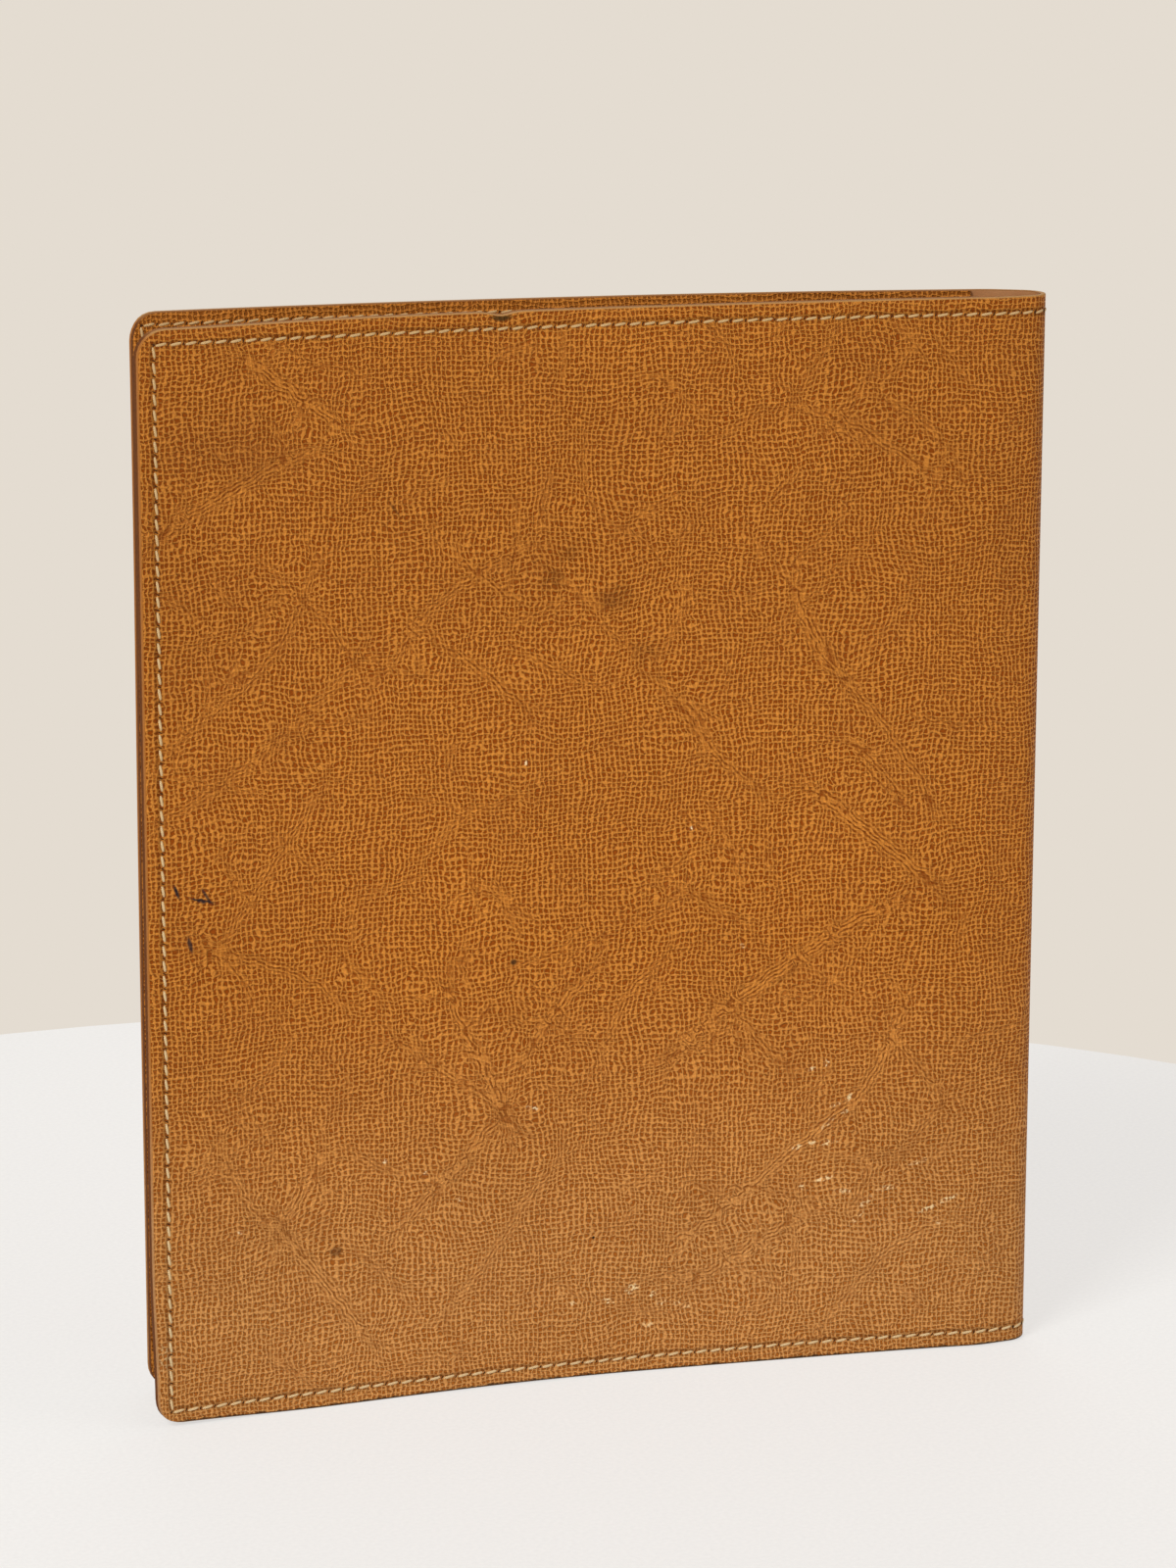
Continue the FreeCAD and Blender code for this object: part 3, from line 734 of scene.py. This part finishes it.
        # painted shadow: the lowest edge is darkened, raggedly, where it meets the table
        ragged_foot_shadow = add(tree, "ShaderNodeTexNoise", {"Vector": flat, "Scale": 1 / 1.3, "Detail": 2.0})
        ragged_foot_shadow = add(tree, "ShaderNodeMath", {0: ragged_foot_shadow, 1: 1.3, 2: height}, operation="MULTIPLY_ADD")
        ragged_foot_shadow = add(tree, "ShaderNodeMapRange", {"Value": ragged_foot_shadow, "From Min": 1.35, "From Max": 0.95,
                                                  "To Max": 0.9})
        tone = add(tree, "ShaderNodeMix", {0: ragged_foot_shadow, 6: tone, 7: linear("#2E1F12")}, 2, data_type="RGBA")
    crumbs = add(tree, "ShaderNodeTexNoise", {"Vector": flat, "Scale": 1 / 1.1, "Detail": 3.0})
    crumbs = add(tree, "ShaderNodeMath", {0: pit, 1: -0.16, 2: crumbs}, operation="MULTIPLY_ADD")
    crumbs = add(tree, "ShaderNodeMapRange", {"Value": crumbs, "From Min": 0.47, "From Max": 0.54,
                                              "To Min": 0.08, "To Max": 1.9})
    tone = marked(tree, tone, stains, flat, laid)
    tone = marked(tree, tone, rubs, flat, laid, crumbs)
    rough = add(tree, "ShaderNodeMapRange", {"Value": pit, "To Min": 0.42, "To Max": 0.66})
    raised = add(tree, "ShaderNodeMath", {0: 1.0, 1: pit}, operation="SUBTRACT", use_clamp=True)
    raised = add(tree, "ShaderNodeMath", {0: crossing, 1: -0.35, 2: raised}, operation="MULTIPLY_ADD")
    raised = add(tree, "ShaderNodeMath", {0: fine, 1: 0.3, 2: raised}, operation="MULTIPLY_ADD")
    if creased:
        raised = add(tree, "ShaderNodeMath", {0: groove, 1: -1.6, 2: raised}, operation="MULTIPLY_ADD")
    bump = add(tree, "ShaderNodeBump", {"Height": raised, "Strength": 1.0, "Distance": 0.00042})
    shader = add(tree, "ShaderNodeBsdfPrincipled", {"Base Color": tone, "Roughness": rough, "Normal": bump})
    shader.node.inputs["IOR"].default_value = 1.46
    shader.node.inputs["Specular IOR Level"].default_value = 0.12
    add(tree, "ShaderNodeOutputMaterial", {"Surface": shader})
    return material


def fibrous(name, colour, dark, rough, scale_mm, depth_mm, stains=()):
    """A plain matt or smooth surface of short fibres, such as a cut edge, a flesh side or card. Each stain
    is a height where it starts, one where it is full, and its colour; some of these bands are painted shade."""
    material, tree = blank_material(name)
    where = add(tree, "ShaderNodeTexCoord", out="Object")
    grain = add(tree, "ShaderNodeTexNoise", {"Vector": where, "Scale": 1000 / scale_mm, "Detail": 4.0})
    grain = add(tree, "ShaderNodeMapRange", {"Value": grain, "From Min": 0.3, "From Max": 0.7})
    tone = add(tree, "ShaderNodeMix", {0: grain, 6: linear(dark), 7: linear(colour)}, 2, data_type="RGBA")
    for start, full, stain in stains:
        height = add(tree, "ShaderNodeSeparateXYZ", {"Vector": where}, "Z")
        share = add(tree, "ShaderNodeMapRange", {"Value": height, "From Min": start / 1000,
                                                 "From Max": full / 1000, "To Max": 0.85})
        tone = add(tree, "ShaderNodeMix", {0: share, 6: tone, 7: linear(stain)}, 2, data_type="RGBA")
    bump = add(tree, "ShaderNodeBump", {"Height": grain, "Strength": 0.6, "Distance": depth_mm / 1000})
    shader = add(tree, "ShaderNodeBsdfPrincipled", {"Base Color": tone, "Roughness": rough, "Normal": bump})
    shader.node.inputs["Specular IOR Level"].default_value = 0.25
    add(tree, "ShaderNodeOutputMaterial", {"Surface": shader})
    return material


outer_leather = grained_leather("pebbled_cowhide", ("#CB8233", "#D09353"), ("#8E4200", "#A05B1C"),
                                0.04, True, BACK_STAINS, BACK_RUBS)
# flesh side: matt and fibrous, hidden under the lining and inside the pockets
flesh_side = fibrous("cowhide_flesh_side", "#A9774A", "#8E5F38", 0.85, 0.9, 0.05)
# cut edge, burnished by handling: pale low down on the fore-edge, brown higher up, olive along the head, and
# nearly black along the foot, which is painted shadow where the edge meets the table
cut_edge = fibrous("cowhide_cut_edge", "#B88654", "#A07040", 0.7, 0.6, 0.04,
                   stains=((50, 90, "#A0601A"), (251.5, 253, "#B0834C"), (1.6, 0.6, "#2E1F12")))

NOSE_TICKS = np.array((0.0, 0.05, 0.15, 0.35, 0.75))
leather_columns = np.concatenate([
    NOSE_TICKS,
    ticks((0.75, FOLD + 6, 0.8), (FOLD + 6, FOLD + COVER_WIDTH - 2, 1.3),
          (FOLD + COVER_WIDTH - 2, FOLD + COVER_WIDTH, 0.5))[1:],
])
leather_rows = ticks((CORNER_RADIUS, COVER_HEIGHT - CORNER_RADIUS, 1.3))
for cover in SIDES:
    half, along, height = cut_sheet(
        "leather_wrap_" + cover, LINES[cover], leather_columns, leather_rows, LEATHER_DEEP, CORNER_RADIUS,
        LEATHER_ARRIS, (outer_leather, flesh_side, cut_edge), cover, open_start=True,
    )
    main_creases = BACK_CREASES
    if cover == "front":
        main_creases = wandering_creases(len(BACK_CREASES), 7, (1.8, 2.7), (9, 16), 0.9)
    fine_creases = wandering_creases(170, 11 + SIDES[cover], (0.9, 1.5), (4, 9), 0.85)
    fans = feathered(main_creases, 17)
    mark_creases(half, cover, along, height, [*main_creases, *fine_creases, *fans], 5)
    bend_between(half)
    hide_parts("spine_leather", cover + "_cover_leather")


# Lining: thin smooth leather, pasted over the whole inside of the wrap before it is sewn, so its cut
# edge shows as a second line beside the wrap's.

LINING_DEEP = (1.25, 1.85)
LINING_ARRIS = 0.15

# glazed calf: an even tan with a soft shine, on an edge that is dyed dark and darkened further with
# painted shade of the gap between the covers
smooth_lining = fibrous("smooth_calf_lining", "#B28055", "#A6724A", 0.5, 3.5, 0.02)
lining_edge = fibrous("lining_edge_dye_and_shade", "#744010", "#5C2C06", 0.8, 0.6, 0.03,
                      stains=((251.5, 253, "#905C2A"),))
lining_columns = np.concatenate([
    NOSE_TICKS,
    ticks((0.75, FOLD + 6, 0.8), (FOLD + 6, FOLD + COVER_WIDTH, 3.0))[1:],
])
lining_rows = ticks((CORNER_RADIUS, COVER_HEIGHT - CORNER_RADIUS, 3.0))
for cover in SIDES:
    half, _, _ = cut_sheet(
        "lining_" + cover, LINES[cover], lining_columns, lining_rows, LINING_DEEP, CORNER_RADIUS,
        LINING_ARRIS, (smooth_lining, smooth_lining, lining_edge), cover, open_start=True,
    )
    bend_between(half)
    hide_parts("spine_lining", cover + "_cover_lining")


# Pocket leaves: a leaf of the same pebbled leather inside each cover, sewn down along three edges and
# open towards the spine. Its middle stands off the lining to take the notebook's card cover.

LEAF_DEEP = (1.9, 2.8)
LEAF_ARRIS = 0.12
LEAF_START = 4.5  # its free edge, from the fold
SEWN_BORDER = 5.3
POCKET_DEPTH = 0.7
BEND_ZONE = 8.0  # inside the edges, where the rows and columns are close


def pocket_rise(along, height):
    """How far the leaf stands off the lining: it climbs just inside the seam, and is level from there."""
    return POCKET_DEPTH * smooth((edge_gap(along, height) - SEWN_BORDER + 0.6) / 1.8)


# the same hide, with one colour at head and foot and less creased because it is protected, on an edge
# that is dyed dark and darkened further with painted shade of the gap between the covers
leaf_leather = grained_leather("pebbled_cowhide_leaf", ("#C67E32",) * 2, ("#8C4C10",) * 2, 0.06, False)
leaf_edge = fibrous("leaf_edge_dye_and_shade", "#6E3C0C", "#562C06", 0.8, 0.6, 0.03,
                    stains=((251.5, 253, "#945F2C"),))
leaf_columns = ticks((FOLD + LEAF_START, FOLD + COVER_WIDTH - BEND_ZONE, 3.0),
                     (FOLD + COVER_WIDTH - BEND_ZONE, FOLD + COVER_WIDTH, 0.6))
leaf_rows = ticks((CORNER_RADIUS, BEND_ZONE, 0.5), (BEND_ZONE, COVER_HEIGHT - BEND_ZONE, 3.0),
                  (COVER_HEIGHT - BEND_ZONE, COVER_HEIGHT - CORNER_RADIUS, 0.5))
for cover in SIDES:
    leaf, _, _ = cut_sheet(
        "pocket_leaf_" + cover, LINES[cover], leaf_columns, leaf_rows, LEAF_DEEP, CORNER_RADIUS,
        LEAF_ARRIS, (flesh_side, leaf_leather, leaf_edge), cover, rise=pocket_rise,
    )
    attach(leaf, cover + "_cover")
    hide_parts(cover + "_pocket_leaf")


# Notebook cards: the two grey-brown card covers of the notebook, each slid into a pocket.

CARD_DEEP = (1.93, 2.43)
CARD_ARRIS = 0.12
CARD_START = 1.0  # from the fold
CARD_BORDER = 6.5  # from the cover's edges
CARD_CORNER = 3.0

# kraft card: matt grey-brown board with fine fibres
card_stock = fibrous("kraft_card", "#B9976B", "#A9875C", 0.8, 0.8, 0.02)
card_columns = ticks((FOLD + CARD_START, FOLD + 8, 0.8), (FOLD + 8, FOLD + COVER_WIDTH - CARD_BORDER, 4.0))
card_rows = ticks((CARD_BORDER + CARD_CORNER, COVER_HEIGHT - CARD_BORDER - CARD_CORNER, 5.0))
for cover in SIDES:
    card, _, _ = cut_sheet(
        "notebook_card_" + cover, LINES[cover], card_columns, card_rows, CARD_DEEP, CARD_CORNER,
        CARD_ARRIS, (card_stock,) * 3, cover, worn=False,
    )
    bend_between(card)
    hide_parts("notebook_" + cover + "_card")


# Pages: a sewn block of about eighty cream leaves. Its fore-edge and head show the gatherings as thin
# steps, because no two sit quite level.

PAGES_WIDTH = 200.0
PAGES_THICKNESS = 8.0
PAGES_INSET = 7.0  # of head and tail, from the leather's edges
PAGES_CORNER = 4.0
PAGES_ARRIS = 0.08
PAGES_LEAVE = math.radians(2.05)
PAGES_BOW = 795.0
GATHERINGS = 20
GATHERING_SHORT = 0.35  # the most by which one falls short of the fore-edge
TAPE = 0.35  # the cloth round the back of the pages, with its glue
TAPE_PLAY = 0.25  # between that cloth and the spine's lining

# the taped back is pushed into the spine until it all but meets both flanks
free = NOSE_RADIUS - LINING_DEEP[1] - TAPE_PLAY
half_back = PAGES_THICKNESS / 2 + TAPE
pages_back = free * math.sin(FLARE) - (half_back - free * math.cos(FLARE)) / math.tan(FLARE)
pages_steps = np.arange(0.0, PAGES_WIDTH + 1.0, 0.1)
pages_heading = -math.pi + PAGES_LEAVE + (pages_steps - TAPE) / PAGES_BOW + SPINE_TURN
pages_line = traced(NOSE_CENTRE + out_of_spine * pages_back, pages_heading, pages_steps)
pages_line["side"] = -1

# Uncoated book paper: matt, warm cream and faintly mottled.
paper, tree = blank_material("cream_book_paper")
where = add(tree, "ShaderNodeAttribute", out="Vector", attribute_name="cut_mm")
mottle = add(tree, "ShaderNodeTexNoise", {"Vector": where, "Scale": 1 / 2.5, "Detail": 4.0})
tone = add(tree, "ShaderNodeMix", {0: mottle, 6: linear("#E2D6BC"), 7: linear("#EFE6D2")}, 2,
           data_type="RGBA")
shader = add(tree, "ShaderNodeBsdfPrincipled", {"Base Color": tone, "Roughness": 0.9})
shader.node.inputs["Specular IOR Level"].default_value = 0.2
add(tree, "ShaderNodeOutputMaterial", {"Surface": shader})

page_rows = ticks((PAGES_INSET + PAGES_CORNER, COVER_HEIGHT - PAGES_INSET - PAGES_CORNER, 12.0))
chance = np.random.default_rng(3)
gatherings = []
thick = PAGES_THICKNESS / GATHERINGS
for number in range(GATHERINGS):
    near = -PAGES_THICKNESS / 2 + number * thick
    columns = ticks((TAPE, TAPE + PAGES_WIDTH - chance.uniform(0.0, GATHERING_SHORT), 6.0))
    gathering, _, _ = cut_sheet(
        "gathering", pages_line, columns, page_rows, (near, near + thick - 0.01), PAGES_CORNER,
        PAGES_ARRIS, (paper,) * 3,
    )
    gatherings.append(gathering)
bpy.ops.object.select_all(action="DESELECT")
for gathering in gatherings:
    gathering.select_set(True)
bpy.context.view_layer.objects.active = gatherings[0]
bpy.ops.object.join()
pages = gatherings[0]
pages.name = "pages"
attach(pages, "spine")
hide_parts("page_block")


# Binding tape: a strip of dark woven cloth, glued round the back of the pages and a little way onto
# the first and last of them.

WEAVE_PITCH = 0.9865  # from thread to thread, coarse enough to show

# Book cloth: matt, nearly black, with a close plain weave.
tape_cloth, tree = blank_material("woven_binding_tape")
where = add(tree, "ShaderNodeTexCoord", out="Object")
# a straight wave repeats every pi / 10 of its scaled length
warp, weft = (
    add(tree, "ShaderNodeTexWave",
        {"Vector": where, "Scale": math.pi / 10 / (WEAVE_PITCH * 0.001), "Distortion": 0.4},
        bands_direction=direction)
    for direction in ("Z", "X")
)
weave = add(tree, "ShaderNodeMath", {0: warp, 1: weft}, operation="MULTIPLY")
tone = add(tree, "ShaderNodeMix", {0: weave, 6: linear("#2E2A26"), 7: linear("#4A443D")}, 2, data_type="RGBA")
bump = add(tree, "ShaderNodeBump", {"Height": weave, "Strength": 0.5, "Distance": 0.00008})
shader = add(tree, "ShaderNodeBsdfPrincipled", {"Base Color": tone, "Roughness": 0.85, "Normal": bump})
shader.node.inputs["Specular IOR Level"].default_value = 0.2
add(tree, "ShaderNodeOutputMaterial", {"Surface": shader})
tape = frame["nodes"]["binding_tape"]
tape.data.materials.clear()
tape.data.materials.append(tape_cloth)


# Seam: a lock stitch in thick waxed linen, through wrap, lining and leaf, that runs along head, fore-edge
# and tail and turns square corners. Each stitch leans a little, and its ends go down into needle holes.

STITCH_PITCH = 3.45
STITCH_LENGTH = 2.8
STITCH_WIDTH = 0.66
STITCH_HEIGHT = 0.34
STITCH_SINK = 0.12  # of its ends into the leather
STITCH_LEAN = math.radians(9.5)
TWIST_PITCH = 0.3896  # from ply to ply, along the thread
HOLE_LENGTH = 0.92
HOLE_WIDTH = 0.34
HOLE_LEAN = math.radians(62)
HOLE_DEEP = 0.15
HOLE_PROUD = 0.02  # so that its mouth isn't lost in the leather's surface

# Waxed linen thread: pale, softly shiny, with the twist of its plies.
thread, tree = blank_material("waxed_linen_thread")
where = add(tree, "ShaderNodeAttribute", out="Vector", attribute_name="thread_mm")
# a diagonal wave repeats every pi / 5 of its scaled length
twist = add(tree, "ShaderNodeTexWave",
            {"Vector": where, "Scale": math.pi / 5 / TWIST_PITCH, "Distortion": 0.5},
            bands_direction="DIAGONAL")
tone = add(tree, "ShaderNodeMix", {0: twist, 6: linear("#BE9358"), 7: linear("#F4E0B4")}, 2, data_type="RGBA")
# handling has dulled the thread along the head
height = add(tree, "ShaderNodeSeparateXYZ", {"Vector": add(tree, "ShaderNodeTexCoord", out="Object")}, "Z")
dull = add(tree, "ShaderNodeMapRange", {"Value": height, "From Min": 0.12, "From Max": 0.25, "To Max": 0.5})
tone = add(tree, "ShaderNodeMix", {0: dull, 6: tone, 7: linear("#B58C50")}, 2, data_type="RGBA")
bump = add(tree, "ShaderNodeBump", {"Height": twist, "Strength": 0.6, "Distance": 0.00008})
shader = add(tree, "ShaderNodeBsdfPrincipled", {"Base Color": tone, "Roughness": 0.5, "Normal": bump})
shader.node.inputs["Specular IOR Level"].default_value = 0.4
add(tree, "ShaderNodeOutputMaterial", {"Surface": shader})
needle_hole = fibrous("needle_hole_shadow", "#4A2609", "#2E1705", 0.9, 0.4, 0.02)


def ringed(name, rings):
    """A closed shape through rings of points, each counted round the same way."""
    sides = len(rings[0])
    faces = [tuple(range(sides))[::-1], tuple((len(rings) - 1) * sides + k for k in range(sides))]
    for base in range(0, (len(rings) - 1) * sides, sides):
        for k in range(sides):
            n = (k + 1) % sides
            faces.append((base + k, base + n, base + sides + n, base + sides + k))
    points = np.concatenate(rings)
    mesh = bpy.data.meshes.new(name)
    mesh.from_pydata((points * 0.001).tolist(), [], faces)
    laid = mesh.attributes.new("thread_mm", "FLOAT_VECTOR", "POINT")
    laid.data.foreach_set("vector", points.ravel())
    return bpy.data.objects.new(name, mesh)


def stitch_shape():
    """One stitch along X that stands up along Z: an oval thread whose ends dip below the surface."""
    turns = np.linspace(0, 2 * math.pi, 7, endpoint=False)
    rings = []
    for t in (-0.5, -0.42, -0.25, 0.0, 0.25, 0.42, 0.5):
        rounded = 1 - (2 * t) ** 4
        full = 0.5 * (math.sqrt(rounded) if rounded else 0.25)
        lift = STITCH_HEIGHT * 0.45 * rounded - STITCH_SINK
        rings.append(np.stack([t * STITCH_LENGTH + 0 * turns, STITCH_WIDTH * full * np.cos(turns),
                               lift + STITCH_HEIGHT * full * np.sin(turns)], -1))
    made = ringed("stitch", rings)
    made.data.polygons.foreach_set("use_smooth", [True] * len(made.data.polygons))
    return made


def hole_shape():
    """The dark mouth of a needle hole, half a stitch further on: a slanted slit, closed below."""
    turns = np.linspace(0, 2 * math.pi, 8, endpoint=False)
    x, y = HOLE_LENGTH / 2 * np.cos(turns), HOLE_WIDTH / 2 * np.sin(turns)
    across = x * math.cos(HOLE_LEAN) - y * math.sin(HOLE_LEAN) + STITCH_PITCH / 2
    up = x * math.sin(HOLE_LEAN) + y * math.cos(HOLE_LEAN)
    rims = [np.stack([across, up, z + 0 * turns], -1) for z in (-HOLE_DEEP, HOLE_PROUD)]
    return ringed("needle_hole", rims)


def stitching_tree():
    """Lays stitches and needle holes along lines that carry the surface's outward direction."""
    tree = bpy.data.node_groups.new("lock_stitch", "GeometryNodeTree")
    tree.is_modifier = True
    tree.interface.new_socket(name="Geometry", in_out="OUTPUT", socket_type="NodeSocketGeometry")
    for name, kind in (("Geometry", "NodeSocketGeometry"), ("Pitch", "NodeSocketFloat"),
                       ("Lean", "NodeSocketFloat"), ("Stitch", "NodeSocketObject"),
                       ("Hole", "NodeSocketObject"), ("Thread", "NodeSocketMaterial"),
                       ("Hole Shade", "NodeSocketMaterial")):
        tree.interface.new_socket(name=name, in_out="INPUT", socket_type=kind)
    given = add(tree, "NodeGroupInput").node
    line = add(tree, "GeometryNodeMeshToCurve", {"Mesh": given.outputs["Geometry"]})
    line = add(tree, "GeometryNodeResampleCurve", {"Curve": line, "Length": given.outputs["Pitch"]},
               mode="LENGTH")
    outward = add(tree, "GeometryNodeInputNamedAttribute", {"Name": "outward"}, "Attribute",
                  data_type="FLOAT_VECTOR")
    tangent = add(tree, "GeometryNodeInputTangent")
    turn = add(tree, "FunctionNodeAxesToRotation", {0: outward, 1: tangent}, primary_axis="Z",
               secondary_axis="X")
    lean = add(tree, "FunctionNodeAxisAngleToRotation", {"Axis": (0, 0, 1), "Angle": given.outputs["Lean"]})
    leaned = add(tree, "FunctionNodeRotateRotation", {0: turn, 1: lean}, rotation_space="LOCAL")
    made = []
    for shape, rotation, material in (("Stitch", leaned, "Thread"), ("Hole", turn, "Hole Shade")):
        thing = add(tree, "GeometryNodeObjectInfo", {"Object": given.outputs[shape]}, "Geometry")
        laid = add(tree, "GeometryNodeInstanceOnPoints", {"Points": line, "Instance": thing,
                                                          "Rotation": rotation})
        laid = add(tree, "GeometryNodeRealizeInstances", {0: laid})
        made.append(add(tree, "GeometryNodeSetMaterial",
                        {"Geometry": laid, "Material": given.outputs[material]}))
    joined = add(tree, "GeometryNodeJoinGeometry").node
    for part in made[::-1]:
        tree.links.new(part, joined.inputs[0])
    end = tree.nodes.new("NodeGroupOutput")
    tree.links.new(joined.outputs[0], end.inputs[0])
    return tree


def seam_runs(cover):
    """The seam's straight runs on one half: where each starts and ends (distance and height), its depth,
    and the way it faces, -1 outwards and 1 inwards."""
    half = STITCH_PITCH / 2
    margin = SEAM_MARGINS[cover]
    far = FOLD + COVER_WIDTH - margin
    low, high = margin, COVER_HEIGHT - margin
    inner = FOLD + LEAF_START + half
    for z in (low, high):
        yield (half, z), (far - half, z), LEATHER_DEEP[0], -1
        yield (half, z), (FOLD + 1.0, z), LINING_DEEP[1], 1
        yield (inner, z), (far - half, z), LEAF_DEEP[1], 1
    for deep, facing in ((LEATHER_DEEP[0], -1), (LEAF_DEEP[1], 1)):
        yield (far, low + half), (far, high - half), deep, facing


stitch, hole = stitch_shape(), hole_shape()
lock_stitch = stitching_tree()
for cover in SIDES:
    line = LINES[cover]
    points, edges, outwards = [], [], []
    for (a0, z0), (a1, z1), deep, facing in seam_runs(cover):
        count = max(2, round(math.hypot(a1 - a0, z1 - z0) / 0.6))
        a, z = np.linspace(a0, a1, count), np.linspace(z0, z1, count)
        base = len(points)
        depth = deep + relaxed(cover, a, z)
        points += placed(line, a, depth, z).tolist()
        edges += [(base + k, base + k + 1) for k in range(count - 1)]
        heading = np.interp(a, line["along"], line["heading"])
        inwards = line["side"] * np.stack([-np.sin(heading), np.cos(heading), 0 * heading], -1)
        outwards += (inwards * facing).tolist()
    mesh = bpy.data.meshes.new("seam_" + cover)
    mesh.from_pydata(points, edges, [])
    outward = mesh.attributes.new("outward", "FLOAT_VECTOR", "POINT")
    outward.data.foreach_set("vector", np.array(outwards).ravel())
    lines = bpy.data.objects.new("seam_lines_" + cover, mesh)
    bpy.context.scene.collection.objects.link(lines)
    modifier = lines.modifiers.new("lock_stitch", "NODES")
    modifier.node_group = lock_stitch
    sockets = {item.name: item.identifier for item in lock_stitch.interface.items_tree
               if item.in_out == "INPUT"}
    for name, value in (("Pitch", STITCH_PITCH * 0.001), ("Lean", STITCH_LEAN), ("Stitch", stitch),
                        ("Hole", hole), ("Thread", thread), ("Hole Shade", needle_hole)):
        modifier[sockets[name]] = value
    evaluated = lines.evaluated_get(bpy.context.evaluated_depsgraph_get())
    seam = bpy.data.objects.new("seam_" + cover, bpy.data.meshes.new_from_object(evaluated))
    bpy.context.scene.collection.objects.link(seam)
    bpy.data.objects.remove(lines)
    bend_between(seam)
    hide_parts("spine_seam", cover + "_cover_seam")
